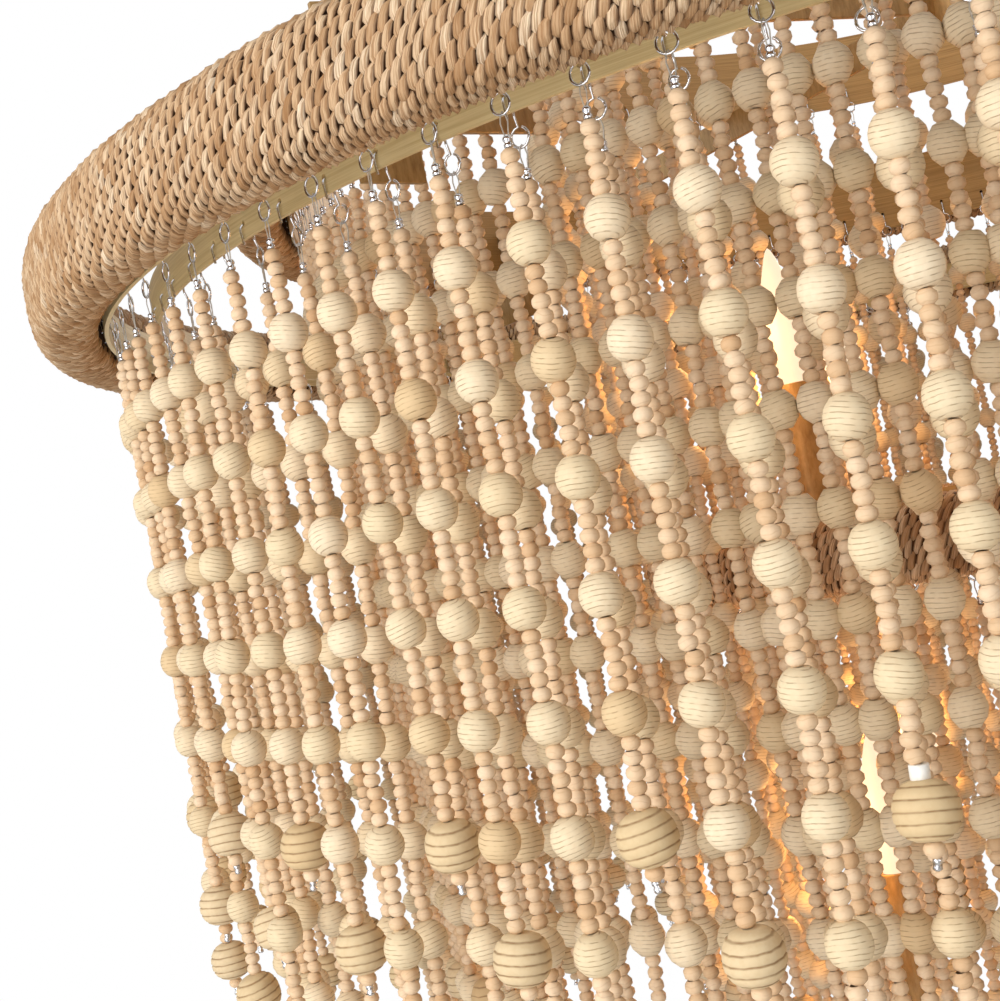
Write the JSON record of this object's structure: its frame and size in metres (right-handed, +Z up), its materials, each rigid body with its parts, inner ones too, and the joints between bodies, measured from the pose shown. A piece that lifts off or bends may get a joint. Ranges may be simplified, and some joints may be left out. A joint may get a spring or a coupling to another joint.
{
  "type": "beaded chandelier",
  "caption": "Ring chandelier with woven rims, wooden bead strands hung from metal bands, two tiers of candle lights and a jointed ceiling suspension.",
  "frame": {"origin": "centre of the ceiling plate's top face", "axes": "+Z up, against the ceiling; the object hangs below z = 0"},
  "size_m": [1.304, 1.304, 1.3119],
  "materials": {
    "seagrass": "plaited natural fibre, matt",
    "wood": "turned and lightly sanded, matt",
    "gold": "champagne gold, satin",
    "steel": "bright zinc",
    "glass": "clear"
  },
  "bodies": {
    "ceiling_part": {"ceiling_plate": "gold", "ceiling_stud": "steel", "stud_nut": "steel", "ceiling_loop": "gold"},
    "canopy_part": {"canopy": "gold", "canopy_collar": "gold"},
    "link_part": {"hanging_link": "gold"},
    "swivel_part": {"stem_loop": "gold"},
    "fixture": {"stem_upper": "gold", "stem_coupler": "gold", "stem_lower": "gold", "crown_rim": "seagrass", "main_rim": "seagrass", "lower_rim": "seagrass", "crown_bead_row": "wood", "centre_bead_row": "wood", "outer_bead_row": "wood", "inner_bead_row": "wood", "lower_bead_row": "wood", "riser_1": "gold", "riser_2": "gold", "riser_3": "gold", "riser_4": "gold", "crown_spider": "gold", "upper_candle_spider": "gold", "lower_candle_spider": "gold", "column_upper": "gold", "column_lower": "gold", "lampholder_upper_1": "gold", "lampholder_upper_2": "gold", "lampholder_upper_3": "gold", "lampholder_upper_4": "gold", "lampholder_lower_1": "gold", "lampholder_lower_2": "gold", "lampholder_lower_3": "gold", "lampholder_lower_4": "gold", "candle_sleeve_upper_1": "gold", "candle_sleeve_upper_2": "gold", "candle_sleeve_upper_3": "gold", "candle_sleeve_upper_4": "gold", "candle_sleeve_lower_1": "gold", "candle_sleeve_lower_2": "gold", "candle_sleeve_lower_3": "gold", "candle_sleeve_lower_4": "gold", "finial": "gold"},
    "lamp_upper_1": {"bulb_upper_1": "glass"},
    "lamp_upper_2": {"bulb_upper_2": "glass"},
    "lamp_upper_3": {"bulb_upper_3": "glass"},
    "lamp_upper_4": {"bulb_upper_4": "glass"},
    "lamp_lower_1": {"bulb_lower_1": "glass"},
    "lamp_lower_2": {"bulb_lower_2": "glass"},
    "lamp_lower_3": {"bulb_lower_3": "glass"},
    "lamp_lower_4": {"bulb_lower_4": "glass"}
  },
  "joints": [
    {"name": "canopy_slide", "type": "slide", "parent": "ceiling_part", "child": "canopy_part", "axis": [0, 0, 1], "range_m": [-0.02, 0]},
    {"name": "link_swing", "type": "hinge", "parent": "ceiling_part", "child": "link_part", "pos_m": [0, 0, -0.07], "axis": [1, 0, 0], "range_deg": [-20, 20]},
    {"name": "loop_swing", "type": "hinge", "parent": "link_part", "child": "swivel_part", "pos_m": [0, 0, -0.1043], "axis": [0, 1, 0], "range_deg": [-20, 20]},
    {"name": "fixture_turn", "type": "hinge", "parent": "swivel_part", "child": "fixture", "pos_m": [0, 0, -0.139], "axis": [0, 0, 1], "range_deg": [-170, 170]},
    {"name": "bulb_upper_1_lift", "type": "slide", "parent": "fixture", "child": "lamp_upper_1", "axis": [0, 0, 1], "range_m": [0, 0.024]},
    {"name": "bulb_upper_2_lift", "type": "slide", "parent": "fixture", "child": "lamp_upper_2", "axis": [0, 0, 1], "range_m": [0, 0.024]},
    {"name": "bulb_upper_3_lift", "type": "slide", "parent": "fixture", "child": "lamp_upper_3", "axis": [0, 0, 1], "range_m": [0, 0.024]},
    {"name": "bulb_upper_4_lift", "type": "slide", "parent": "fixture", "child": "lamp_upper_4", "axis": [0, 0, 1], "range_m": [0, 0.024]},
    {"name": "bulb_lower_1_lift", "type": "slide", "parent": "fixture", "child": "lamp_lower_1", "axis": [0, 0, 1], "range_m": [0, 0.024]},
    {"name": "bulb_lower_2_lift", "type": "slide", "parent": "fixture", "child": "lamp_lower_2", "axis": [0, 0, 1], "range_m": [0, 0.024]},
    {"name": "bulb_lower_3_lift", "type": "slide", "parent": "fixture", "child": "lamp_lower_3", "axis": [0, 0, 1], "range_m": [0, 0.024]},
    {"name": "bulb_lower_4_lift", "type": "slide", "parent": "fixture", "child": "lamp_lower_4", "axis": [0, 0, 1], "range_m": [0, 0.024]}
  ]
}
